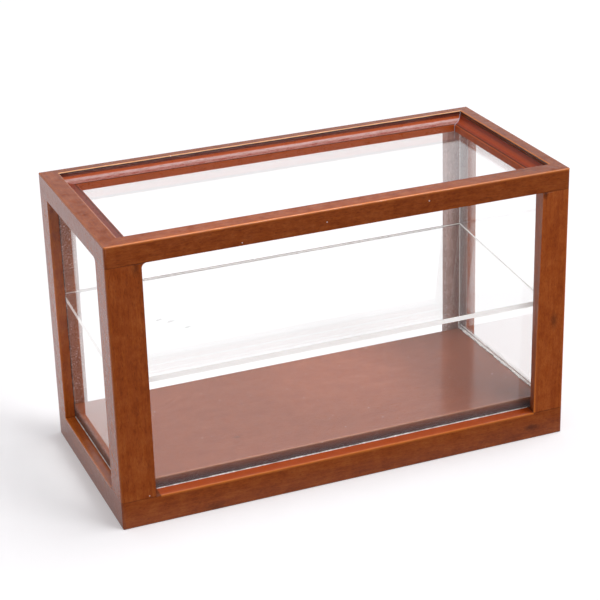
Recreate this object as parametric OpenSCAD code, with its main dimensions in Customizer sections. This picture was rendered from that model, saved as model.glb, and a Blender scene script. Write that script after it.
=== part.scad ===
// Small counter display case in dollhouse scale.
// A mitred top frame and a mitred bottom frame are joined by four angle-section posts.
// Clear acrylic panes close the front, the sides and the top. The back is open.
// All sizes are millimetres. The origin is the middle of the base, +X is the viewer's
// right, +Z is up and the front faces -Y.

/* [Case] */
// Overall width, left to right
case_w = 125; // [100:1:200]
// Overall depth, front to back
case_d = 58.4; // [50:0.1:120]
// Overall height
case_h = 76.2; // [66:0.1:140]
// Rounding of the outer arrises along the rails
arris_r = 0.4; // [0.1:0.1:0.8]
// Rounding of the four upright outer corners
corner_r = 0.8; // [0.1:0.1:1.5]

/* [Top frame] */
// Height of the rails of the top frame
top_rail_h = 5.5; // [4.8:0.1:9]
// Flat on the left rail, from the outer face to the moulding
flat_left = 4.9; // [3:0.1:6]
// Flat on the right rail
flat_right = 3.5; // [3:0.1:6]
// Flat on the front rail
flat_front = 5.3; // [3:0.1:6]
// Flat on the back rail
flat_back = 3.1; // [3:0.1:6]
// Drop from the flat to the quirk beside it
step_drop = 0.9; // [0.5:0.1:1.1]
// Width of the quirk
quirk_w = 0.3; // [0.2:0.1:0.8]
// Radius of the cove
cove_r = 1.6; // [1:0.1:1.8]
// Width of the level bed below the cove
bed_w = 1.3; // [0.5:0.1:2]
// Width of the lip along the opening
bead_w = 0.4; // [0.2:0.1:1]
// Drop from the bed to the lip
bead_drop = 0.1; // [0.05:0.05:0.3]

/* [Posts] */
// Width of the front left post, seen from the front
front_left_w = 9.1; // [7:0.1:12]
// Width of the front right post, seen from the front, at its top
front_right_w = 7.8; // [7:0.1:12]
// How far the front arris of the front right post leans into the opening at its foot
front_right_splay = 1; // [0:0.1:1.5]
// Width of a front post, seen from the side
front_post_d = 8; // [6:0.1:11]
// Width of the rear left post, seen from the front
rear_left_w = 8.6; // [6:0.1:11]
// Width of the rear right post, seen from the front
rear_right_w = 7.5; // [6:0.1:11]
// Width of a rear post, seen from the side
rear_post_d = 7.3; // [6:0.1:10]
// Fillet under the top frame at the front left post
fillet_left = 1.3; // [0.4:0.1:2]
// Fillet under the top frame at the front right post
fillet_right = 0.7; // [0.4:0.1:2]

/* [Wood in front of the panes] */
// Wood thickness in front of the front pane
front_lip = 3.8; // [2.5:0.1:5]
// Wood thickness outside the side panes
side_lip = 2.8; // [2:0.1:4]
// Wood thickness at the open back
back_lip = 3; // [2:0.1:4.5]

/* [Bottom frame] */
// Height of the rails of the bottom frame
bottom_rail_h = 7.6; // [5:0.1:12]
// Width of the rails of the bottom frame
bottom_rail_w = 8; // [6.5:0.1:12]
// Depth of the rebate that the panes and the floor board stand in
sill_rebate = 0.6; // [0.4:0.1:1.5]

/* [Panes] */
// Thickness of the acrylic panes
pane_t = 1; // [0.8:0.1:1.5]
// Reach of the top pane under the moulded frame
top_pane_lap = 1.4; // [0.8:0.1:2]
// Clearance between a pane and the wood beside its edges
pane_gap = 0.1; // [0.05:0.05:0.2]

/* [Floor board] */
// Thickness of the floor board
board_t = 3.2; // [2:0.1:5]
// Clearance round the floor board
board_gap = 0.1; // [0.05:0.05:0.4]
// Clearance at its right edge, where the board was cut short
board_short = 0.7; // [0.1:0.1:1]
// Distance from the back of the case to the board
board_setback = 5; // [4.6:0.1:12]

/* [Shelf] */
// Thickness of the acrylic shelf
shelf_t = 1.5; // [1:0.1:3]
// Height of the front edge of the shelf above the base, at its top face
shelf_z = 38.4; // [26:0.1:42]
// Tilt of the shelf in degrees, the rear edge is the higher one
shelf_tilt = 5.2; // [0:0.1:8]
// Distance from the rear edge of the shelf to the wood at the back
shelf_setback = 0.6; // [0.2:0.1:20]
// Glue gap at the edges of the shelf
shelf_gap = 0.1; // [0.05:0.05:0.2]

/* [Hidden] */
$fn = 96;
left = -case_w / 2;
right = case_w / 2;
front = -case_d / 2;
back = case_d / 2;
// Inner faces of the wood, where the panes stand
pane_left = left + side_lip;
pane_right = right - side_lip;
pane_front = front + front_lip;
pane_back = back - back_lip;
// Clear room inside the panes
room_left = pane_left + pane_t;
room_right = pane_right - pane_t;
room_front = pane_front + pane_t;
sill_z = bottom_rail_h - sill_rebate;
// Length of the shelf up its slope
shelf_len = (pane_back - shelf_setback - shelf_t * sin(shelf_tilt) - room_front - shelf_gap)
            / cos(shelf_tilt);
// Levels of the moulding, from the top down
top_frame_z = case_h - top_rail_h;
quirk_z = case_h - step_drop;
bed_z = quirk_z - cove_r;
lip_z = bed_z - bead_drop;
// The top pane lies against the underside of the lip, in a rebate as deep as the pane
pane_ceiling = top_frame_z + pane_t + pane_gap;
mould_w = quirk_w + cove_r + bed_w + bead_w;
// Edges of the moulding where it meets the flats
mould_left = left + flat_left;
mould_right = right - flat_right;
mould_front = front + flat_front;
mould_back = back - flat_back;
// Edges of the opening in the top frame
open_left = mould_left + mould_w;
open_right = mould_right - mould_w;
open_front = mould_front + mould_w;
open_back = mould_back - mould_w;
// Cuts run past the wood by this much
past = 1;

// Box from its lowest corner to its highest corner
module block(low, high) {
    translate(low) cube(high - low);
}

// Rectangle from corner to corner with rounded corners
module rounded_rect(low, high, r) {
    translate([low.x + r, low.y]) square([high.x - low.x - 2 * r, high.y - low.y]);
    translate([low.x, low.y + r]) square([high.x - low.x, high.y - low.y - 2 * r]);
    for (x = [low.x + r, high.x - r], y = [low.y + r, high.y - r]) {
        translate([x, y]) circle(r);
    }
}

// Extrusion of an outline drawn in X and Z, along the whole depth
module along_depth() {
    translate([0, back + past, 0]) rotate([90, 0, 0]) linear_extrude(case_d + 2 * past) children();
}

// Extrusion of an outline drawn in Y and Z, along the whole width
module along_width() {
    translate([left - past, 0, 0]) rotate([90, 0, 90]) linear_extrude(case_w + 2 * past) children();
}

// The outside of the whole case, with its rounded arrises
module envelope() {
    intersection() {
        linear_extrude(case_h) rounded_rect([left, front], [right, back], corner_r);
        along_depth() rounded_rect([left, 0], [right, case_h], arris_r);
        along_width() rounded_rect([front, 0], [back, case_h], arris_r);
    }
}

// Corner waste outside a quarter round, drawn towards +X and +Y from the origin
module round_waste(r) {
    difference() {
        square(r + past);
        circle(r);
    }
}

// Section of the opening in the top frame, between the inner edges a and b of two flats
module opening_section(a, b) {
    top = case_h + past;
    cove_out = quirk_w + cove_r;
    translate([a, quirk_z]) square([b - a, top - quirk_z]);
    translate([a + cove_out, bed_z]) square([b - a - 2 * cove_out, top - bed_z]);
    for (x = [a + cove_out, b - cove_out]) {
        translate([x, quirk_z]) circle(cove_r);
    }
    translate([a + mould_w - bead_w, lip_z])
        square([b - a - 2 * (mould_w - bead_w), top - lip_z]);
    translate([a + mould_w, top_frame_z - past])
        square([b - a - 2 * mould_w, top - top_frame_z + past]);
    translate([a - arris_r, case_h - arris_r]) round_waste(arris_r);
    translate([b + arris_r, case_h - arris_r]) mirror([1, 0]) round_waste(arris_r);
}

// The moulded opening, mitred because two straight mouldings cross
module moulded_opening() {
    intersection() {
        along_depth() opening_section(mould_left, mould_right);
        along_width() opening_section(mould_front, mould_back);
    }
}

// Plan of one mitred rail: it spreads at 45 degrees from the opening's corners a and b
module mitre_plan(a, b, out_a, out_b) {
    reach = case_w;
    polygon([a, b, b + reach * out_b, a + reach * out_a]);
}

// Plan of a rail on one side of the rectangular opening from low to high
module rail_plan(side, low, high) {
    if (side == "front") mitre_plan(low, [high.x, low.y], [-1, -1], [1, -1]);
    if (side == "back") mitre_plan([low.x, high.y], high, [-1, 1], [1, 1]);
    if (side == "left") mitre_plan(low, [low.x, high.y], [-1, -1], [-1, 1]);
    if (side == "right") mitre_plan([high.x, low.y], high, [1, -1], [1, 1]);
}

module top_rail(side) {
    color("sienna")
    difference() {
        intersection() {
            envelope();
            translate([0, 0, top_frame_z]) linear_extrude(top_rail_h)
                rail_plan(side, [open_left, open_front], [open_right, open_back]);
        }
        moulded_opening();
        block([open_left - top_pane_lap, open_front - top_pane_lap, top_frame_z - past],
              [open_right + top_pane_lap, open_back + top_pane_lap, pane_ceiling]);
    }
}

module bottom_rail(side) {
    color("sienna")
    difference() {
        intersection() {
            envelope();
            linear_extrude(bottom_rail_h)
                rail_plan(side, [left + bottom_rail_w, front + bottom_rail_w],
                          [right - bottom_rail_w, back - bottom_rail_w]);
        }
        block([pane_left, pane_front, sill_z], [pane_right, pane_back, case_h]);
    }
}

// Fillet under the top frame, drawn towards +X and down from the origin
module corner_fillet(r, depth) {
    rotate([90, 0, 0]) translate([0, -r, -depth]) linear_extrude(depth)
        difference() {
            square(r);
            translate([r, 0]) circle(r);
        }
}

// Box from its lowest corner to its highest corner, with the foot of its front edge at high.x
// moved out by splay
module splayed_block(low, high, splay) {
    polyhedron(
        points = [
            low, [high.x + splay, low.y, low.z], [high.x, high.y, low.z], [low.x, high.y, low.z],
            [low.x, low.y, high.z], [high.x, low.y, high.z], high, [low.x, high.y, high.z]
        ],
        faces = [
            [0, 1, 2, 3], [7, 6, 5, 4], [4, 5, 1, 0], [5, 6, 1], [6, 2, 1], [6, 7, 3, 2],
            [7, 4, 0, 3]
        ]
    );
}

// Angle-section front post at the left, one flange in front of each pane
module front_post(width, fillet) {
    intersection() {
        envelope();
        union() {
            block([left, front, bottom_rail_h],
                  [left + width, pane_front, top_frame_z]);
            block([left, front, bottom_rail_h],
                  [pane_left, front + front_post_d, top_frame_z]);
            translate([left + width, front, top_frame_z])
                corner_fillet(fillet, front_lip);
            translate([pane_left, front + front_post_d, top_frame_z]) rotate([0, 0, 90])
                corner_fillet(fillet, side_lip);
        }
    }
}

// Angle-section rear post at the left
module rear_post(width) {
    intersection() {
        envelope();
        union() {
            block([left, pane_back, bottom_rail_h],
                  [left + width, back, top_frame_z]);
            block([left, back - rear_post_d, bottom_rail_h],
                  [pane_left, back, top_frame_z]);
        }
    }
}

module post_front_left() {
    color("sienna") front_post(front_left_w, fillet_left);
}

// The inner face of this post is out of true: its front arris leans into the opening
module post_front_right() {
    color("sienna") mirror([1, 0, 0]) {
        front_post(front_right_w, fillet_right);
        splayed_block([pane_left, front, bottom_rail_h],
                      [left + front_right_w, pane_front, top_frame_z], front_right_splay);
    }
}

module post_rear_left() {
    color("sienna") rear_post(rear_left_w);
}

module post_rear_right() {
    color("sienna") mirror([1, 0, 0]) rear_post(rear_right_w);
}

// Floor board on the sill of the bottom frame, between the panes
module floor_board() {
    color("indianred")
    block([room_left + board_gap, room_front + board_gap, sill_z],
          [room_right - board_short, back - board_setback, sill_z + board_t]);
}

// Shelf glued between the side panes, its front edge against the front pane
module shelf() {
    color([0.86, 0.88, 0.86, 0.6])
    translate([0, room_front + shelf_gap, shelf_z]) rotate([shelf_tilt, 0, 0])
        block([room_left + shelf_gap, 0, -shelf_t], [room_right - shelf_gap, shelf_len, 0]);
}

module top_pane() {
    color([0.9, 0.93, 0.93, 0.35])
    block([open_left - top_pane_lap + pane_gap, open_front - top_pane_lap + pane_gap,
           pane_ceiling - pane_t],
          [open_right + top_pane_lap - pane_gap, open_back + top_pane_lap - pane_gap,
           pane_ceiling]);
}

module front_pane() {
    color([0.9, 0.93, 0.93, 0.35])
    block([pane_left + pane_gap, pane_front, sill_z],
          [pane_right - pane_gap, pane_front + pane_t, top_frame_z - pane_gap]);
}

// Side pane at the left, between the front pane and the rear post
module side_pane() {
    block([pane_left, room_front + pane_gap, sill_z],
          [pane_left + pane_t, pane_back - pane_gap, top_frame_z - pane_gap]);
}

module left_pane() {
    color([0.9, 0.93, 0.93, 0.35]) side_pane();
}

module right_pane() {
    color([0.9, 0.93, 0.93, 0.35]) mirror([1, 0, 0]) side_pane();
}

top_rail("front");  // top_rail_front
top_rail("back");  // top_rail_back
top_rail("left");  // top_rail_left
top_rail("right");  // top_rail_right
post_front_left();
post_front_right();
post_rear_left();
post_rear_right();
bottom_rail("front");  // bottom_rail_front
bottom_rail("back");  // bottom_rail_back
bottom_rail("left");  // bottom_rail_left
bottom_rail("right");  // bottom_rail_right
floor_board();
shelf();
top_pane();
front_pane();
left_pane();
right_pane();
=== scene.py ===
"""Looks of the small display case: lacquered wood, clear acrylic, soft studio light."""

import math
import random
from collections import namedtuple

import bpy
from mathutils import Matrix, Vector


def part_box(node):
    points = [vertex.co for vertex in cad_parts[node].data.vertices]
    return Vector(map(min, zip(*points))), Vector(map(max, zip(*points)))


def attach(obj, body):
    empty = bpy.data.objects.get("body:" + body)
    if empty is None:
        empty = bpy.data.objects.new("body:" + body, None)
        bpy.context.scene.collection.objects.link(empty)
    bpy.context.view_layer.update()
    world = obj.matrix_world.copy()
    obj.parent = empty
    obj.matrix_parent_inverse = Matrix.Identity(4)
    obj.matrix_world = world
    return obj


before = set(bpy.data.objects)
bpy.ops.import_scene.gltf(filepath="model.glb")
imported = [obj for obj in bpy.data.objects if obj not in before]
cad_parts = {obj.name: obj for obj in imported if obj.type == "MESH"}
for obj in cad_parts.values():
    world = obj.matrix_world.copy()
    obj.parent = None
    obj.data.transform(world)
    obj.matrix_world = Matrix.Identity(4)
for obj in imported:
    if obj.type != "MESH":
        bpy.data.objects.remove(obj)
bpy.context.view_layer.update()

MM_PER_M = 1000.0


def box_mm(node):
    """A node's lowest and highest corners, in millimetres."""
    return tuple(MM_PER_M * Vector(corner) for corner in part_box(node))


# ---------------------------------------------------------------- camera

# Solved on the edges of the case in the photo
CAMERA_AT = Vector((-0.168004, -0.415815, 0.235768))
CAMERA_RIGHT = Vector((0.924043, -0.381473, -0.024973))
CAMERA_DOWN = Vector((-0.174113, -0.361800, -0.915853))
CAMERA_AHEAD = Vector((0.340336, 0.850635, -0.400738))
CAMERA_LENS_MM, CAMERA_SENSOR_MM = 110.2, 36.0


def make_camera():
    data = bpy.data.cameras.new("camera")
    data.sensor_fit = "HORIZONTAL"
    data.sensor_width = CAMERA_SENSOR_MM
    data.lens = CAMERA_LENS_MM
    data.clip_start, data.clip_end = 0.01, 20.0
    camera = bpy.data.objects.new("camera", data)
    turn = Matrix((CAMERA_RIGHT, -CAMERA_DOWN, -CAMERA_AHEAD)).transposed()
    camera.matrix_world = Matrix.Translation(CAMERA_AT) @ turn.to_4x4()
    bpy.context.scene.collection.objects.link(camera)
    bpy.context.scene.camera = camera


# ---------------------------------------------------------------- node helpers


class Nodes:
    """A node tree, with short calls for the nodes that are used here."""

    def __init__(self, owner):
        owner.use_nodes = True
        self.tree = owner.node_tree
        self.tree.nodes.clear()

    def put(self, socket, value):
        if isinstance(value, bpy.types.NodeSocket):
            self.tree.links.new(value, socket)
        elif hasattr(socket.default_value, "__len__") and len(socket.default_value) == 4:
            socket.default_value = (*value[:3], 1.0)
        else:
            socket.default_value = value

    def add(self, kind, values, out=0, **settings):
        node = self.tree.nodes.new("ShaderNode" + kind)
        for key, value in settings.items():
            setattr(node, key, value)
        for key, value in values.items():
            self.put(node.inputs[key], value)
        return node.outputs[out]

    def split(self, vector):
        """The X, Y and Z of a vector."""
        node = self.tree.nodes.new("ShaderNodeSeparateXYZ")
        self.put(node.inputs[0], vector)
        return {axis: node.outputs[axis] for axis in "XYZ"}

    def ray(self, kind):
        """1 for the rays of one kind, such as Is Camera Ray."""
        return self.add("LightPath", {}, out=kind)

    def ramp(self, value, low, high, to_low=0.0, to_high=1.0):
        values = {
            "Value": value,
            "From Min": low,
            "From Max": high,
            "To Min": to_low,
            "To Max": to_high,
        }
        return self.add("MapRange", values, clamp=True)

    def maths(self, operation, a, b=0.0):
        return self.add("Math", {0: a, 1: b}, operation=operation)

    def times(self, first, *others):
        """Product of values."""
        for value in others:
            first = self.maths("MULTIPLY", first, value)
        return first

    def total(self, *weighted):
        """Sum of values, each given with its weight."""
        result = 0.0
        for value, weight in weighted:
            result = self.maths("ADD", self.times(value, weight), result)
        return result

    def choose(self, factor, a, b):
        """Value between two others."""
        return self.add("Mix", {"Factor": factor, "A": a, "B": b}, out="Result")

    def mix(self, factor, a, b):
        """Colour between two others."""
        node = self.tree.nodes.new("ShaderNodeMix")
        node.data_type = "RGBA"
        # A Mix node's colours are its seventh and eighth inputs and its third output
        for i, value in ((0, factor), (6, a), (7, b)):
            self.put(node.inputs[i], value)
        return node.outputs[2]

    def mix_shader(self, factor, a, b):
        return self.add("MixShader", {0: factor, 1: a, 2: b})


class Material(Nodes):
    """A material's node tree, laid out in the millimetres of the case."""

    def __init__(self, name):
        self.material = bpy.data.materials.new(name)
        super().__init__(self.material)
        self.out = self.tree.nodes.new("ShaderNodeOutputMaterial")
        self.place = self.add("TexCoord", {}, out="Object")
        self.metres = self.split(self.place)

    def mm(self, axis):
        return self.times(self.metres[axis], MM_PER_M)

    def grid(self, per_mm, shift=(0, 0, 0)):
        """Object coordinates scaled to so many units per millimetre along X, Y and Z."""
        scale = tuple(k * MM_PER_M for k in per_mm)
        return self.add("Mapping", {"Vector": self.place, "Scale": scale, "Location": shift})

    def noise(self, per_mm, shift=(0, 0, 0), detail=3.0, rough=0.55, distortion=0.0):
        values = {
            "Vector": self.grid(per_mm, shift),
            "Scale": 1.0,
            "Detail": detail,
            "Roughness": rough,
            "Distortion": distortion,
        }
        return self.add("TexNoise", values)

    def inside(self, axis, low_mm, high_mm):
        """Millimetres to the nearer one of two planes across an axis."""
        mm = self.mm(axis)
        from_low = self.maths("SUBTRACT", mm, low_mm)
        from_high = self.maths("SUBTRACT", high_mm, mm)
        return self.maths("MINIMUM", from_low, from_high)

    def away(self, point_mm, stretch=(1, 1, 1)):
        """Millimetres from a point, with each axis stretched by a factor."""
        shift = tuple(-k * c for k, c in zip(stretch, point_mm))
        return self.add("VectorMath", {0: self.grid(stretch, shift)}, "Value", operation="LENGTH")

    def specks(self, per_mm, shift, share, size):
        """Small round dots in a share of the cells of a grid."""
        cells = {"Vector": self.grid((per_mm,) * 3, shift), "Scale": 1.0}
        near = self.add("TexVoronoi", cells, out="Distance")
        pick = self.add("SeparateColor", {"Color": self.add("TexVoronoi", cells, out="Color")})
        dot = self.ramp(near, size, size * 0.6)
        limit = self.maths("SUBTRACT", 1.0, share)
        return self.times(dot, self.maths("GREATER_THAN", pick, limit))

    def bump(self, height, depth_mm, strength, normal=None):
        values = {"Height": height, "Distance": depth_mm / MM_PER_M, "Strength": strength}
        if normal is not None:
            values["Normal"] = normal
        return self.add("Bump", values)

    def facing(self):
        """The X, Y and Z of the direction in which the surface looks."""
        return self.split(self.add("NewGeometry", {}, out="Normal"))

    def surface(self, shader):
        self.put(self.out.inputs["Surface"], shader)
        return self.material


def along(axis, length, across):
    """Units per millimetre for a pattern that runs along one axis."""
    return tuple(length if a == axis else across for a in "XYZ")


# ---------------------------------------------------------------- colours of the wood


class Stain:
    """Colours of one stained wood, from its dark pores to its worn arrises."""

    def __init__(self, dark, mid, light, worn):
        self.dark, self.mid, self.light, self.worn = dark, mid, light, worn
        # The darkest tone, for pores, joints and smudges, and as painted shade in lines down a
        # moulding
        self.pore = tuple(0.30 * c for c in dark)
        # Stain that has pooled in a recess, as an even tone or as a broken line
        self.deep = self.dash = (1.12 * mid[0], 0.50 * mid[1], 0.45 * mid[2])
        # Tones on a moulding: a painted highlight on the arris, an amber band, a painted sheen in
        # the cove, and painted shade
        self.cream, self.amber = (0.92, 0.42, 0.160), (0.56, 0.085, 0.006)
        self.frost, self.bruise = (0.62, 0.34, 0.32), (0.11, 0.030, 0.035)

    def lifted(self, share):
        """The same stain on a paler piece of wood."""
        tones = (self.dark, self.mid, self.light, self.worn)
        return Stain(*(tuple(share * c for c in tone) for tone in tones))


# A stain, the weights of streaks, bands, mottle and fleck in its tone, the lowest and highest
# roughness of the lacquer, the share of dust specks, and the strengths of two kinds of relief:
# the fine grain and the rolling of the lacquer
Finish = namedtuple("Finish", "stain weights rough dust fine rolling")

FRAME_FINISH = Finish(
    stain=Stain(
        dark=(0.185, 0.032, 0.004),
        mid=(0.262, 0.052, 0.006),
        light=(0.330, 0.078, 0.011),
        worn=(0.640, 0.180, 0.026),
    ),
    weights=(0.28, 0.18, 0.28, 0.26),
    rough=(0.12, 0.22),
    dust=0.06,
    fine=0.35,
    rolling=0.35,
)
BOARD_FINISH = Finish(
    stain=Stain(
        dark=(0.232, 0.061, 0.031),
        mid=(0.280, 0.087, 0.046),
        light=(0.328, 0.111, 0.062),
        worn=(0.640, 0.240, 0.095),
    ),
    weights=(0.24, 0.12, 0.20, 0.44),
    rough=(0.10, 0.20),
    dust=0.36,
    fine=0.05,
    rolling=0.14,
)
# Specks of dust, and the pale film of dust on the rear posts with painted shade under it
DUST, FILM, INNER_SHADE = (0.80, 0.73, 0.68), (0.80, 0.58, 0.52), (0.060, 0.032, 0.024)
# Dried glue in a mitre of the top frame, with a painted highlight on it
MITRE_GLUE_AND_GLINT = (0.52, 0.48, 0.56)
# The sill in front of a pane, brighter than the rest of its rail
SILL = (0.500, 0.066, 0.005)
# Painted shade on the floor board's front edge, behind the foot of the front pane
FRONT_EDGE_SHADE = (0.020, 0.018, 0.022)

# Which way the grain of each piece of the frame runs
GRAIN = {
    "top_rail_front": "X",
    "top_rail_back": "X",
    "top_rail_left": "Y",
    "top_rail_right": "Y",
    "post_front_left": "Z",
    "post_front_right": "Z",
    "post_rear_left": "Z",
    "post_rear_right": "Z",
    "bottom_rail_front": "X",
    "bottom_rail_back": "X",
    "bottom_rail_left": "Y",
    "bottom_rail_right": "Y",
}
# Pieces of paler wood
LIFT = {
    "post_front_left": 1.16,
    "post_front_right": 1.32,
    "post_rear_left": 1.2,
    "post_rear_right": 1.3,
    "bottom_rail_front": 1.05,
}
# How pale hands and sanding have made the outer arrises of a piece
WORN = {
    "top_rail_front": 0.80,
    "bottom_rail_front": 0.85,
    "bottom_rail_left": 0.45,
    "post_front_left": 0.20,
    "post_front_right": 0.50,
    "floor_board": 0.70,
}
WORN_ELSEWHERE = 0.25
# How much of the sill's tone shows on the ledge of a bottom rail
SILL_TONE = {"bottom_rail_front": 0.64}
# How much rougher the lacquer is down the moulding of a top rail, and in its flecks, and on the
# faces of the front posts that look into the case
SATIN, SATIN_ELSEWHERE, SATIN_FLECK = {"top_rail_right": 0.30}, 0.12, 0.12
MATT_INSIDE = 0.25
# Dark smudges in the wood: where in millimetres, how far they reach, and how dark they are
MARKS = {
    "bottom_rail_front": (((53.0, -29.2, 3.4), 1.2, 0.70), ((-38.0, -29.2, 1.0), 1.6, 0.45)),
    "post_front_right": (((59.0, -29.2, 34.0), 1.4, 0.60), ((55.4, -29.2, 70.2), 0.9, 0.85)),
    "post_front_left": (((-55.0, -29.2, 69.6), 1.2, 0.55),),
    "floor_board": (((53.0, -22.7, 10.2), 0.35, 0.90), ((-25.6, -12.4, 10.2), 0.6, 0.70)),
}
# Painted light on the level faces of a piece, which are painted paler where light and sheen fall
# on them: between which two X in millimetres, how far from them the whole effect is reached, and
# how much paler that is
TOP_PAINTED_LIGHT = {
    "top_rail_front": (-82.0, 52.0, 40.0, 0.50),
    "top_rail_left": (-90.0, -50.0, 6.0, 0.20),
    "floor_board": (-90.0, 56.0, 32.0, 0.42),
}
# A painted sheen on the floor board, with painted shade around it: its middle, how far from there
# in millimetres the board around it starts to darken and is darkest, and how much darker that is
PAINTED_SHEEN_PATCH = ((20.0, 12.0, 10.2), 8.0, 34.0, 0.30)
# Shares of even and of speckled dust on the faces of a rear post that look into the case, and
# how much of it is left away from the post's left edge and near its foot
DUST_FILM = {
    "post_rear_left": (0.18, 0.80, 1.0, 1.0),
    "post_rear_right": (0.66, 0.34, 0.50, 0.75),
}

# Width of the moulding beside the flat of a top rail
MOULDING_MM = 3.6
# Lines along a moulding. Each runs from one to another distance beyond the flat, measured down
# and across together, with a strength and a tone of the stain. The quirk is at 0.9 to 1.2, the
# cove ends at 4.4, the bed at 5.7, and the lip lies beyond. The arris glint is a painted
# highlight and the cove sheen is an uneven painted sheen. The moulding shade and the dark
# pore-and-shade lines are painted shade, and a dash is a broken line.
MOULDING_LINES = {
    "top_rail_back": (
        (-0.34, 0.08, 0.85, "cream"),
        (0.10, 0.54, 0.90, "pore"),
        (0.50, 1.50, 0.55, "bruise"),
        (1.50, 2.50, 0.80, "amber"),
        (2.50, 5.40, 0.75, "frost"),
        (3.70, 5.20, 0.90, "dash"),
        (5.44, 5.84, 0.80, "pore"),
        (5.90, 9.50, 0.55, "amber"),
    ),
    "top_rail_right": (
        (-0.34, 0.10, 0.85, "worn"),
        (0.14, 0.55, 0.90, "pore"),
        (0.92, 1.40, 0.65, "pore"),
        (1.50, 5.40, 0.80, "deep"),
        (2.70, 4.30, 0.30, "amber"),
        (5.44, 5.84, 0.80, "pore"),
        (5.90, 9.50, 0.65, "amber"),
    ),
}
MOULDING_LINES_ELSEWHERE = (
    (-0.16, 0.06, 0.60, "cream"),
    (0.08, 1.50, 0.65, "bruise"),
    (1.50, 5.40, 0.60, "deep"),
    (4.30, 5.30, 0.30, "bruise"),
    (5.44, 5.84, 0.80, "pore"),
    (5.90, 9.50, 0.60, "deep"),
)
# How softly a line starts and ends, and how far the streaks of the grain move it
LINE_BLUR_MM, WANDER_MM = 0.12, 0.35


# ---------------------------------------------------------------- wood


class Piece:
    """One wooden piece: its patterns, and how far its arrises and joints are in millimetres."""

    def __init__(self, node, axis, shift):
        n = self.n = Material("wood_" + node)
        self.node, self.axis, self.shift = node, axis, shift
        self.low, self.high = box_mm(node)
        self.top_rail, self.bottom_rail = node.startswith("top_"), node.startswith("bottom_")
        self.rail = self.top_rail or self.bottom_rail
        self.streaks = n.noise(along(axis, 0.16, 1.5), shift, detail=4.0, rough=0.6)
        self.bands = n.noise(along(axis, 0.02, 0.28), shift, detail=2.0, distortion=0.5)
        self.mottle = n.noise((0.34, 0.34, 0.34), shift, detail=3.0, rough=0.6)
        self.fleck = n.noise(along(axis, 1.3, 4.2), shift, detail=2.0, rough=0.7)
        self.pores = n.ramp(n.noise(along(axis, 0.9, 5.5), shift, detail=1.0), 0.58, 0.72)

    def from_outside(self):
        """Distance of a rail's point from the outer face of the case, and the rail's width."""
        across = "Y" if self.axis == "X" else "X"
        i = "XYZ".index(across)
        low, high = self.low[i], self.high[i]
        if low + high < 0:
            return self.n.maths("SUBTRACT", self.n.mm(across), low), high - low
        return self.n.maths("SUBTRACT", high, self.n.mm(across)), high - low

    def from_side(self, axis):
        """Distance from the nearer end of the piece along an axis."""
        i = "XYZ".index(axis)
        return self.n.inside(axis, self.low[i], self.high[i])

    def from_front(self):
        return self.n.maths("SUBTRACT", self.n.mm("Y"), self.low.y)

    def from_level(self, level):
        return self.n.maths("ABSOLUTE", self.n.maths("SUBTRACT", self.n.mm("Z"), level))

    def between_posts(self):
        """1 on the stretch of a rail that runs free between two posts."""
        last = "post_front_right" if self.axis == "X" else "post_rear_right"
        i = "XYZ".index(self.axis)
        start, end = box_mm("post_front_left")[1][i], box_mm(last)[0][i]
        return self.n.ramp(self.n.inside(self.axis, start, end), -0.1, 0.1)

    def arris(self):
        """Distance from the arrises that hands and sanding have lightened."""
        if self.node == "floor_board":
            pair = self.from_front(), self.from_level(self.high.z)
        elif self.rail:
            pair = self.from_outside()[0], self.from_level(self.high.z)
        else:
            pair = self.from_side("X"), self.from_side("Y")
        return self.n.maths("MAXIMUM", *pair)

    def joint(self):
        """Distance from the line where a post meets a rail."""
        if not self.rail:
            return self.from_side("Z")
        level = self.low.z if self.top_rail else self.high.z
        # Between the posts a rail meets nothing, so that the distance there is a large one
        return self.n.total((self.from_level(level), 1.0), (self.between_posts(), 50.0))

    def facing_inward(self):
        """1 on the faces that look towards the middle of the case."""
        n, facing = self.n, self.n.facing()
        inward = n.maths("MINIMUM", *(n.times(facing[a], n.metres[a]) for a in "XY"))
        return n.maths("LESS_THAN", inward, -0.005)


def stained(piece, finish, stain):
    """Plain wood: a tone from the grain, and dark pores."""
    n = piece.n
    patterns = (piece.streaks, piece.bands, piece.mottle, piece.fleck)
    tone = n.total(*zip(patterns, finish.weights))
    colour = n.mix(n.ramp(tone, 0.38, 0.50), stain.dark, stain.mid)
    colour = n.mix(n.ramp(tone, 0.50, 0.62), colour, stain.light)
    return n.mix(n.times(piece.pores, 0.38), colour, stain.pore)


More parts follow.
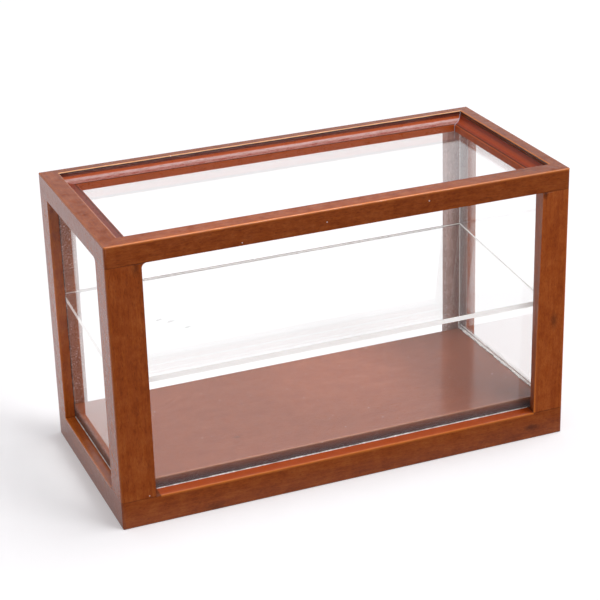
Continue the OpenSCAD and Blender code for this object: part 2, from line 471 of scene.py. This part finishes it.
def moulding_lines(piece, colour, stain):
    """Painted highlight on the arris, painted shade in the quirk and down the cove, a painted
    sheen in the cove of the back rail, and uneven tones down the moulding of a top rail.

    Also gives 1 from the cove to the lip, and 0 elsewhere."""
    n = piece.n
    across, width = piece.from_outside()
    flat = width - MOULDING_MM
    on_moulding = n.ramp(across, flat - 0.6, flat - 0.4)
    drop = piece.from_level(piece.high.z)
    down = n.total((across, 1.0), (drop, 1.0), (piece.streaks, WANDER_MM))
    down = n.maths("SUBTRACT", down, flat + WANDER_MM / 2)
    broken = n.noise(along(piece.axis, 0.55, 2.6), piece.shift, detail=2.0, rough=0.6)
    shares = {
        "frost": n.times(on_moulding, n.ramp(broken, 0.36, 0.56, 0.50, 1.0)),
        "dash": n.times(on_moulding, n.ramp(broken, 0.48, 0.56)),
    }
    lines = MOULDING_LINES.get(piece.node, MOULDING_LINES_ELSEWHERE)
    for start, end, strength, tone in lines:
        begun = n.ramp(down, start - LINE_BLUR_MM, start, 0.0, strength)
        ended = n.ramp(down, end, end + LINE_BLUR_MM, 1.0, 0.0)
        share = n.times(shares.get(tone, on_moulding), begun, ended)
        colour = n.mix(share, colour, getattr(stain, tone))

    # Dried glue with a painted highlight in the mitre of the back right corner, which runs at 45
    # degrees
    corner_x, corner_y = box_mm("top_rail_right")[0].x, box_mm("top_rail_back")[0].y
    off = n.maths("SUBTRACT", n.mm("X"), n.mm("Y"))
    off = n.maths("ABSOLUTE", n.maths("SUBTRACT", off, corner_x - corner_y))
    seam = n.times(n.ramp(off, 0.10, 0.22, 0.85, 0.0), n.ramp(down, 0.2, 0.4), on_moulding)
    colour = n.mix(seam, colour, MITRE_GLUE_AND_GLINT)
    return colour, n.times(on_moulding, n.ramp(down, 1.2, 1.5))


def worn_arrises(piece, colour, stain):
    """Paler arrises, and on a bottom rail the bright sill between the posts."""
    n = piece.n
    arris = n.total((piece.arris(), 1.0), (piece.mottle, 0.5))
    worn = n.ramp(arris, 0.35, 0.90, WORN.get(piece.node, WORN_ELSEWHERE), 0.0)
    if piece.bottom_rail:
        free = piece.between_posts()
        worn = n.times(worn, free)
        tone = SILL_TONE.get(piece.node, 0.0)
        ledge = n.ramp(piece.from_level(piece.high.z), 0.10, 0.25, tone, 0.0)
        colour = n.mix(n.times(ledge, free), colour, SILL)
    return n.mix(worn, colour, stain.worn)


def dark_joint(piece, colour, stain):
    """A dark line where a post meets a rail."""
    n = piece.n
    joint = n.total((piece.joint(), 1.0), (piece.fleck, 0.25))
    return n.mix(n.ramp(joint, 0.16, 0.34, 0.50, 0.0), colour, stain.pore)


def dark_front(piece, colour):
    """Painted shade: the board's front edge painted near black behind the front pane, darkest
    towards its foot.
    """
    n, top = piece.n, piece.high.z
    front = n.ramp(piece.from_front(), 0.1, 0.25, 1.0, 0.0)
    dirt_and_shade = n.ramp(n.mm("Z"), top - 2.0, top - 0.4, 0.95, 0.50)
    return n.mix(n.times(front, dirt_and_shade), colour, FRONT_EDGE_SHADE)


def smudged(piece, colour, stain):
    """Dark smudges with a ragged rim, about twice as long along the grain."""
    n = piece.n
    for point, reach, strength in MARKS.get(piece.node, ()):
        away = n.away(point, along(piece.axis, 0.45, 1.0))
        smudge = n.total((away, 1.0), (piece.fleck, reach))
        shade = n.ramp(smudge, 0.7 * reach, 1.5 * reach, strength, 0.0)
        colour = n.mix(shade, colour, stain.pore)
    return colour


def painted_light_on_top(piece, colour):
    """Painted light: level faces painted paler over a part of their length, and on the floor
    board a painted sheen with painted shade around it.
    """
    n, top = piece.n, piece.high.z
    low, high, reach, most = TOP_PAINTED_LIGHT[piece.node]
    lift = n.ramp(n.inside("X", low, high), 0.0, reach, 0.0, most)
    if piece.node == "floor_board":
        middle, near, far, darker = PAINTED_SHEEN_PATCH
        lift = n.total((lift, 1.0), (n.ramp(n.away(middle), near, far), -darker))
    level = n.ramp(n.mm("Z"), top - 0.2, top - 0.05)
    lift = n.total((n.times(level, lift), 1.0), (1.0, 1.0))
    return n.add("VectorMath", {0: colour, "Scale": lift}, operation="SCALE")


def shade_and_dust_film(piece, colour, inward):
    """Painted shade and dust on a rear post's inner faces, as far out as the side panes.

    Also gives how thick the dust is."""
    n, shift = piece.n, piece.shift
    even, speckled, beyond, low = DUST_FILM[piece.node]
    panes = box_mm("left_pane")[0].x, box_mm("right_pane")[1].x
    covered = n.times(inward, n.maths("GREATER_THAN", n.inside("X", *panes), -0.02))
    # Painted shade on the faces that look into the case, between the side panes
    colour = n.mix(n.times(covered, 0.55), colour, INNER_SHADE)
    cloud = n.noise(along(piece.axis, 0.15, 0.9), shift, detail=4.0, rough=0.7)
    grit = n.noise((2.6, 2.6, 1.8), shift, detail=2.0, rough=0.8)
    thick = n.total(
        (1.0, 0.55 * even),
        (n.ramp(cloud, 0.3, 0.7), 0.35 * even),
        (n.ramp(grit, 0.49, 0.57), 0.35 * speckled),
        (n.specks(1.4, shift, 0.55, 0.34), 0.80 * speckled),
    )
    from_left = n.maths("SUBTRACT", n.mm("X"), piece.low.x)
    fading = n.times(n.ramp(from_left, 0.8, 3.0, 1.0, beyond), n.ramp(n.mm("Z"), 18.0, 46.0, low))
    thick = n.times(covered, thick, fading)
    return n.mix(n.maths("MINIMUM", thick, 0.9), colour, FILM), thick


def wood(node, axis, shift, finish, lift=1.0):
    """Fine straight grain under lacquer, with pores, mottling, wear and specks of dust, and
    painted highlights, sheen and shade.
    """
    piece = Piece(node, axis, shift)
    n, stain = piece.n, finish.stain.lifted(lift)
    colour, recess = stained(piece, finish, stain), 0.0
    if piece.top_rail:
        colour, recess = moulding_lines(piece, colour, stain)
    colour = worn_arrises(piece, colour, stain)
    if node == "floor_board":
        colour = dark_front(piece, colour)
    else:
        colour = dark_joint(piece, colour, stain)
    colour = smudged(piece, colour, stain)
    if node in TOP_PAINTED_LIGHT:
        colour = painted_light_on_top(piece, colour)
    inward = piece.facing_inward()
    dots = dusty = n.times(n.specks(0.36, shift, finish.dust, 0.07), 0.75)
    if node in DUST_FILM:
        colour, thick = shade_and_dust_film(piece, colour, inward)
        dusty = n.maths("MAXIMUM", dots, n.times(thick, 0.6))
    colour = n.mix(dots, colour, DUST)

    relief = n.total((piece.streaks, 0.5), (piece.fleck, 0.3), (piece.pores, -0.6))
    normal = n.bump(relief, 0.03, finish.fine)
    lacquer = n.noise((0.5, 0.5, 0.5), shift, detail=1.0)
    normal = n.bump(lacquer, 0.10, finish.rolling, normal)
    satin = SATIN.get(node, SATIN_ELSEWHERE)
    satin = n.ramp(piece.fleck, 0.40, 0.60, satin, satin + SATIN_FLECK)
    roughness = n.total(
        (n.ramp(piece.mottle, 0.35, 0.65, *finish.rough), 1.0),
        (dusty, 0.4),
        (inward, MATT_INSIDE if node.startswith("post_front") else 0.0),
        (n.times(satin, recess), 1.0),
    )
    values = {"Base Color": colour, "Roughness": roughness, "IOR": 1.5, "Normal": normal}
    return n.surface(n.add("BsdfPrincipled", values))


# ---------------------------------------------------------------- acrylic

CLEAR = (0.998, 0.999, 0.999)
SHELF_CLEAR = (0.985, 0.992, 0.985)
CUT_EDGE = (0.97, 0.955, 0.93)
HAZE = (0.90, 0.87, 0.87)
GRIME = (0.16, 0.070, 0.045)
ACRYLIC_IOR = 1.49
# Smudges of glue and dirt on the panes, in the same terms as MARKS
SMEARS = {
    "top_pane": (
        ((-11.8, 18.5, 72.8), 0.8, 0.70),
        ((-8.2, 18.9, 72.8), 0.7, 0.60),
        ((-1.0, 17.6, 72.8), 0.8, 0.50),
    ),
    "front_pane": (
        ((-48.8, -25.4, 53.6), 0.65, 0.28),
        ((-45.8, -25.4, 52.6), 0.75, 0.30),
        ((-41.5, -25.4, 50.3), 0.60, 0.28),
    ),
}


class Sheet:
    """One clear sheet: its patterns, and how far its rim is in millimetres."""

    def __init__(self, node, shift):
        n = self.n = Material("acrylic_" + node)
        self.node, self.shift = node, shift
        low, high = box_mm(node)
        thin = min(range(3), key=lambda i: high[i] - low[i])
        self.thin_axis = "XYZ"[thin]
        span = (n.inside("XYZ"[i], low[i], high[i]) for i in range(3) if i != thin)
        self.rim = n.maths("MINIMUM", *span)
        self.patches = n.noise((0.16, 0.16, 0.16), shift, detail=3.0, rough=0.65)
        self.fine = n.noise((2.2, 2.2, 2.2), shift, detail=2.0, rough=0.7)


def veil_on(sheet, haze, specks, bloom, film):
    """How much haze, scratches, dust, white bloom and glue film hide the clear sheet."""
    n, shift = sheet.n, sheet.shift
    scratches = n.ramp(n.noise((0.35, 2.4, 3.0), shift, detail=3.0, rough=0.7), 0.66, 0.74)
    crossing = n.ramp(n.noise((3.2, 0.5, 0.25), shift, detail=3.0, rough=0.7), 0.67, 0.75)
    rubbed = n.times(n.ramp(sheet.rim, 1.0, 9.0, 1.0, 0.25), n.ramp(sheet.patches, 0.42, 0.62))
    veil = n.total(
        (rubbed, haze),
        (n.ramp(sheet.fine, 0.48, 0.72), haze * 1.5),
        (scratches, haze * 2.0),
        (crossing, haze * 2.0),
    )
    small, large = n.specks(1.2, shift, specks, 0.10), n.specks(0.45, shift, specks, 0.06)
    veil = n.maths("MAXIMUM", veil, n.total((small, 0.7), (large, 0.7)))
    frosted = n.ramp(n.total((sheet.rim, 1.0), (sheet.patches, 4.0)), 3.0, 7.0, bloom, 0.0)
    frosted = n.times(frosted, n.ramp(sheet.fine, 0.36, 0.62, 0.25, 1.0))
    veil = n.maths("MAXIMUM", veil, frosted)
    if film:
        axis, at, reach = film
        edge = n.total((n.mm(axis), 1.0), (sheet.patches, reach))
        veil = n.maths("MAXIMUM", veil, n.ramp(edge, at, at + reach, 0.42, 0.0))
    return veil


def dirt_on(sheet, grime):
    """How much grime there is along an edge of the sheet, and in smears on it."""
    n, dirt = sheet.n, 0.0
    if grime:
        axis, at, reach, strength = grime
        off = n.maths("ABSOLUTE", n.maths("SUBTRACT", n.mm(axis), at))
        ragged = n.total((off, 1.0), (sheet.fine, 0.5 * reach))
        dirt = n.ramp(ragged, reach, 1.5 * reach, strength, 0.0)
        dirt = n.times(dirt, n.ramp(sheet.fine, 0.40, 0.56, 0.35, 1.0))
    for point, reach, strength in SMEARS.get(sheet.node, ()):
        away = n.away(point, (0.45, 1.6, 1.6))
        smudge = n.total((away, 1.0), (sheet.fine, 1.6 * reach))
        shade = n.ramp(smudge, reach, 1.7 * reach, strength, 0.0)
        dirt = n.maths("MAXIMUM", dirt, shade)
    return dirt


def clear_faces(sheet, tint, veil, dirt_and_shade):
    """Clear acrylic under a veil of haze and dirt, that lets lamps through."""
    n = sheet.n
    waves = n.noise((0.05, 0.05, 0.05), sheet.shift, detail=1.0)
    values = {
        "Base Color": tint,
        "Roughness": 0.0,
        "IOR": ACRYLIC_IOR,
        "Transmission Weight": 1.0,
        "Normal": n.bump(waves, 0.02, 0.3),
    }
    glass = n.add("BsdfPrincipled", values)
    cloud = n.add("BsdfPrincipled", {"Base Color": dirt_and_shade, "Roughness": 0.6, "IOR": 1.3})
    glass = n.mix_shader(n.maths("MINIMUM", veil, 0.9), glass, cloud)
    through = n.add("BsdfTransparent", {"Color": tuple(0.93 * c for c in tint)})
    return n.mix_shader(n.ray("Is Shadow Ray"), glass, through)


def cut_edges(sheet, glow):
    """Pale sawn edges. The weak glow stands for the light that the sheet pipes to them."""
    n = sheet.n
    dull = tuple(0.93 * c for c in CUT_EDGE)
    pale = n.mix(n.ramp(sheet.fine, 0.35, 0.65), dull, CUT_EDGE)
    values = {
        "Base Color": pale,
        "Roughness": 0.5,
        "IOR": 1.35,
        "Emission Color": CUT_EDGE,
        "Emission Strength": glow,
    }
    sawn = n.add("BsdfPrincipled", values)
    return n.mix_shader(0.4, sawn, n.add("BsdfTranslucent", {"Color": pale}))


def acrylic(node, shift, haze, specks, bloom=0.0, film=None, grime=None, tint=CLEAR, glow=0.40):
    """Clear sheet with cut edges, dust, scratches, glue film and smears.

    Bloom is the white crust that glue leaves along the rim. Film is glue that has crept up from
    one edge, and grime is a broken dark line along an edge."""
    sheet = Sheet(node, shift)
    n, dirt_and_shade = sheet.n, HAZE
    veil = veil_on(sheet, haze, specks, bloom, film)
    if grime or node in SMEARS:
        dirt = dirt_on(sheet, grime)
        veil = n.maths("MAXIMUM", veil, dirt)
        dirt_and_shade = n.mix(n.ramp(dirt, 0.05, 0.35), HAZE, GRIME)
    edges = cut_edges(sheet, glow)
    if grime:
        soiled = n.times(dirt, n.ramp(sheet.fine, 0.44, 0.58, 0.15, 0.45))
        edges = n.mix_shader(soiled, edges, n.add("BsdfDiffuse", {"Color": GRIME}))
    across = n.maths("ABSOLUTE", n.facing()[sheet.thin_axis])
    cut = n.maths("LESS_THAN", across, 0.5)
    return n.surface(n.mix_shader(cut, clear_faces(sheet, tint, veil, dirt_and_shade), edges))


MILKY = ((0.72, 0.70, 0.68), (0.98, 0.97, 0.95))
# Milky glue, and near-black tones for a bead that is painted shade
SHADED_GLUE = ((0.020, 0.010, 0.008), (0.120, 0.060, 0.040))


def glue(name, shift, tones):
    """Dried glue: uneven and glossy, clear and milky, or near black as painted shade."""
    n = Material(name)
    cloud = n.noise((1.6, 1.6, 1.6), shift, detail=3.0, rough=0.7)
    values = {
        "Base Color": n.mix(n.ramp(cloud, 0.35, 0.60), *tones),
        "Roughness": n.ramp(cloud, 0.3, 0.7, 0.08, 0.35),
        "IOR": 1.47,
        "Transmission Weight": 0.15,
        "Normal": n.bump(n.noise((2.5, 2.5, 2.5), shift, detail=2.0), 0.08, 0.7),
    }
    return n.surface(n.add("BsdfPrincipled", values))


# ---------------------------------------------------------------- finish the CAD nodes

WOOD_EASED_MM, SHEET_EASED_MM = 0.12, 0.06
# A sheet stands this far back from its CAD faces, so that light passes between it and the wood
SHRUNK_MM = 0.03


def ease_edges(node, width_mm, segments=2, shrunk_mm=0.0):
    """Small rounding of every sharp edge, inside the CAD shape."""
    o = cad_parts[node]
    weld = o.modifiers.new("weld", "WELD")
    weld.merge_threshold = 1e-7
    if shrunk_mm:
        shrink = o.modifiers.new("shrink", "DISPLACE")
        shrink.direction = "NORMAL"
        shrink.mid_level = 0.0
        # A corner moves along the diagonal of its three faces
        shrink.strength = -math.sqrt(3) * shrunk_mm / MM_PER_M
    bevel = o.modifiers.new("bevel", "BEVEL")
    bevel.width = width_mm / MM_PER_M
    bevel.segments = segments
    bevel.limit_method = "ANGLE"
    bevel.angle_limit = 0.7
    bevel.miter_outer = "MITER_ARC"
    normals = o.modifiers.new("normals", "WEIGHTED_NORMAL")
    normals.weight = 100
    normals.keep_sharp = False


def dress(node, material):
    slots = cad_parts[node].data.materials
    slots.clear()
    slots.append(material)


def dress_wood():
    for i, (node, axis) in enumerate(GRAIN.items()):
        shift = (3.7 * i, 11.3 * i, 7.9 * i)
        dress(node, wood(node, axis, shift, FRAME_FINISH, LIFT.get(node, 1.0)))
        ease_edges(node, WOOD_EASED_MM)
    dress("floor_board", wood("floor_board", "X", (91, 17, 5), BOARD_FINISH))
    ease_edges("floor_board", WOOD_EASED_MM)


def dress_sheets():
    board_top, shelf_back = box_mm("floor_board")[1].z, box_mm("shelf")[1].y
    film, grime = ("Z", board_top + 0.6, 2.0), ("Z", board_top - 2.0, 1.6, 0.75)
    shelf = {"tint": SHELF_CLEAR, "glow": 0.38, "grime": ("Y", shelf_back, 0.45, 1.0)}
    # Where each sheet's patterns start, its haze and share of specks, and what else it has
    sheets = {
        "top_pane": ((5, 3, 1), 0.004, 0.02, {"bloom": 0.06}),
        "front_pane": ((25, 13, 7), 0.004, 0.04, {"bloom": 0.06}),
        "left_pane": ((45, 33, 17), 0.012, 0.12, {"bloom": 0.30, "grime": grime}),
        "right_pane": ((65, 53, 27), 0.008, 0.10, {"bloom": 0.30, "film": film}),
        "shelf": ((2, 9, 4), 0.003, 0.03, shelf),
    }
    for node, (shift, haze, specks, more) in sheets.items():
        dress(node, acrylic(node, shift, haze, specks, **more))
        ease_edges(node, SHEET_EASED_MM, 1, SHRUNK_MM)


# ---------------------------------------------------------------- glue beads

BEAD_STEP_MM, BEAD_ARC_STEPS = 0.35, 4
# How much a bead swells along its length, in waves and at random, and the least that is left
BEAD_WAVE, BEAD_RANDOM, BEAD_LEAST = 0.16, 0.25, 0.35


def bead(name, start, end, arms, reach_mm, material, seed):
    """Uneven fillet of glue in a corner: two arms lie on the surfaces that meet there.

    Each arm has a reach in millimetres at the start and at the end of the bead."""
    rng = random.Random(seed)
    start, end = Vector(start) / MM_PER_M, Vector(end) / MM_PER_M
    arm_a, arm_b = (Vector(arm) for arm in arms)
    count = max(8, round((end - start).length * MM_PER_M / BEAD_STEP_MM))
    phases = [rng.uniform(0, math.tau) for _ in range(3)]
    corners, faces = [], []
    for i in range(count + 1):
        t = i / count
        wave = sum(math.sin(k * 9.0 * math.pi * t + p) for k, p in zip((1, 2.3, 5.1), phases))
        swell = 1 + BEAD_WAVE * wave + rng.uniform(-BEAD_RANDOM, BEAD_RANDOM)
        swell = max(BEAD_LEAST, swell) / MM_PER_M
        long_a, long_b = (swell * (a + (b - a) * t) for a, b in reach_mm)
        centre = start.lerp(end, t)
        corners.append(centre)
        for j in range(BEAD_ARC_STEPS + 1):
            turn = 0.5 * math.pi * j / BEAD_ARC_STEPS
            hollow = 1 - 0.25 * math.sin(2 * turn)
            away = arm_a * math.cos(turn) * long_a + arm_b * math.sin(turn) * long_b
            corners.append(centre + away * hollow)
    ring = BEAD_ARC_STEPS + 2
    for i in range(count):
        for j in range(ring):
            a, b = i * ring + j, i * ring + (j + 1) % ring
            faces.append((a, b, b + ring, a + ring))
    faces.append(tuple(reversed(range(ring))))
    faces.append(tuple(range(count * ring, (count + 1) * ring)))
    mesh = bpy.data.meshes.new(name)
    mesh.from_pydata(corners, [], faces)
    mesh.update()
    for face in mesh.polygons:
        face.use_smooth = True
    mesh.materials.append(material)
    piece = bpy.data.objects.new(name, mesh)
    bpy.context.scene.collection.objects.link(piece)
    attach(piece, "root")


def glue_panes():
    """Beads of glue where the panes meet the wood, as far as the photo shows them; the one up the
    rear left corner is near black as painted shade.
    """
    milky = glue("glue_milky", (3, 5, 8), MILKY)
    dirt_and_shade = glue("glue_shaded", (5, 1, 4), SHADED_GLUE)
    low, high = {}, {}
    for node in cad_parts:
        low[node], high[node] = box_mm(node)
    sill = high["bottom_rail_front"].z
    ceiling = low["top_rail_left"].z
    up, ahead, left, right = (0, 0, 1), (0, -1, 0), (-1, 0, 0), (1, 0, 0)

    y = low["front_pane"].y
    start, end = (high["post_front_left"].x, y, sill), (low["post_front_right"].x, y, sill)
    reach = ((0.16, 0.16), (0.18, 0.18))
    bead("glue_front", start, end, (ahead, up), reach, milky, 11)

    x, near, far = low["left_pane"].x, high["post_front_left"].y, low["post_rear_left"].y
    reach = ((0.12, 0.14), (0.14, 0.18))
    bead("glue_left", (x, near, sill), (x, far, sill), (left, up), reach, milky, 12)
    rear = ((0.14, 0.12), (0.20, 0.16))
    # The bead up the rear left corner, beside the pane, is near black: painted shade
    bead("shaded_glue_rear_left", (x, far, sill), (x, far, ceiling), (left, ahead), rear, dirt_and_shade, 13)

    x, far = high["right_pane"].x, low["post_rear_right"].y
    bead("glue_rear_right", (x, far, sill), (x, far, ceiling), (right, ahead), rear, milky, 15)

    # Two beads between the right pane and the board, the upper one rising to the back
    x, z = low["right_pane"].x, high["floor_board"].z
    near, far = low["floor_board"].y, high["floor_board"].y
    reach = ((0.62, 0.66), (0.10, 0.16))
    bead("glue_right", (x, near, z), (x, far, z), (left, up), reach, milky, 14)
    start, end = (x, near, z + 0.55), (x, far, z + 0.85)
    reach = ((0.10, 0.14), (0.14, 0.30))
    bead("glue_right_upper", start, end, (left, up), reach, milky, 16)


# ---------------------------------------------------------------- stage

TABLE_HALF_WIDTH = 6.0
# The table as it lights the case, as the camera sees it, through acrylic, where its shadow
# shows weaker and the white stays white, and mirrored a little pink in lacquer
TABLE_LIT = (0.62, 0.62, 0.62)
TABLE_SEEN = (0.80, 0.79, 0.80)
TABLE_THROUGH = (0.50, 0.49, 0.50)
TABLE_MIRRORED = (0.80, 0.72, 0.73)
TABLE_DARK = (0.02, 0.02, 0.02)
# What the table adds of its own light, and how much more through acrylic
TABLE_GLOW, TABLE_GLOW_THROUGH = 0.21, 0.40
# In front of the case the table is out of the light, so the front mirrors it dark: from where
# to where in millimetres ahead of the middle, and how dark at the two
TABLE_DARKENS = (22.0, 40.0, 0.10, 0.93)

# The colour of the studio's light, and its strength where it fills the shadows
WHITE = (0.98, 0.97, 1.0)
FILL = 0.60
# How bright lacquer mirrors the studio at each height above the horizon, in degrees: a backdrop
# with a dark gap, and the dark above it
MIRRORED_SKY = (
    (17.8, 0.95),
    (21.0, 0.05),
    (22.9, 0.05),
    (24.8, 0.95),
    (30.0, 0.95),
    (34.0, 0.20),
)

LAMP_AIM, LAMP_DISTANCE = Vector((0, 0, 0.04)), 3.0


def make_floor():
    far = TABLE_HALF_WIDTH
    mesh = bpy.data.meshes.new("floor")
    corners = [(-far, -far, 0), (far, -far, 0), (far, far, 0), (-far, far, 0)]
    mesh.from_pydata(corners, [], [(0, 1, 2, 3)])
    floor = bpy.data.objects.new("floor", mesh)
    bpy.context.scene.collection.objects.link(floor)

    n = Material("floor")
    glossy, through = n.ray("Is Glossy Ray"), n.ray("Is Transmission Ray")
    lacquer = n.maths("SUBTRACT", glossy, n.ray("Is Singular Ray"))
    shade = n.mix(through, TABLE_SEEN, TABLE_THROUGH)
    shade = n.mix(lacquer, shade, TABLE_MIRRORED)
    glow = n.total((through, TABLE_GLOW_THROUGH), (1.0, TABLE_GLOW))
    table = n.add("BsdfDiffuse", {"Color": shade})
    table = n.add("AddShader", {0: table, 1: n.add("Emission", {"Strength": glow})})

    mirrored = n.maths("MAXIMUM", n.maths("SUBTRACT", glossy, through), 0.0)
    ahead = n.times(n.metres["Y"], -MM_PER_M)
    dark = n.times(mirrored, n.ramp(ahead, *TABLE_DARKENS))
    table = n.mix_shader(dark, table, n.add("BsdfDiffuse", {"Color": TABLE_DARK}))

    # Rays that show the background: straight, mirrored or through acrylic
    seen = n.maths("MAXIMUM", n.maths("MAXIMUM", n.ray("Is Camera Ray"), glossy), through)
    lit = n.add("BsdfDiffuse", {"Color": TABLE_LIT})
    mesh.materials.append(n.surface(n.mix_shader(seen, lit, table)))


def make_world():
    """White for straight rays and in acrylic, softer in lacquer, and an even fill light."""
    world = bpy.data.worlds.new("studio")
    bpy.context.scene.world = world
    n = Nodes(world)
    up = n.split(n.add("TexCoord", {}, out="Generated"))["Z"]
    mirrored = MIRRORED_SKY[0][1]
    for (low, _), (high, seen) in zip(MIRRORED_SKY[::2], MIRRORED_SKY[1::2]):
        climb = n.ramp(up, math.sin(math.radians(low)), math.sin(math.radians(high)))
        mirrored = n.choose(climb, mirrored, seen)
    strength = n.choose(n.ray("Is Glossy Ray"), FILL, mirrored)
    for kind in ("Is Singular Ray", "Is Transmission Ray", "Is Camera Ray"):
        strength = n.choose(n.ray(kind), strength, 1.0)
    back = n.add("Background", {"Color": WHITE, "Strength": strength})
    out = n.tree.nodes.new("ShaderNodeOutputWorld")
    n.put(out.inputs["Surface"], back)


def softbox(name, towards, size, watts):
    data = bpy.data.lights.new(name, "AREA")
    data.shape = "SQUARE"
    data.size = size
    data.energy = watts
    lamp = bpy.data.objects.new(name, data)
    lamp.location = LAMP_AIM + Vector(towards).normalized() * LAMP_DISTANCE
    lamp.rotation_mode = "QUATERNION"
    lamp.rotation_quaternion = (LAMP_AIM - lamp.location).to_track_quat("-Z", "Y")
    bpy.context.scene.collection.objects.link(lamp)


make_camera()
dress_wood()
dress_sheets()
glue_panes()
make_floor()
make_world()
softbox("key", (0.40, -0.10, 0.90), 1.7, 35.0)
softbox("front", (0.34, -0.44, 0.83), 0.74, 20.0)

bpy.context.scene.view_settings.view_transform = "Standard"
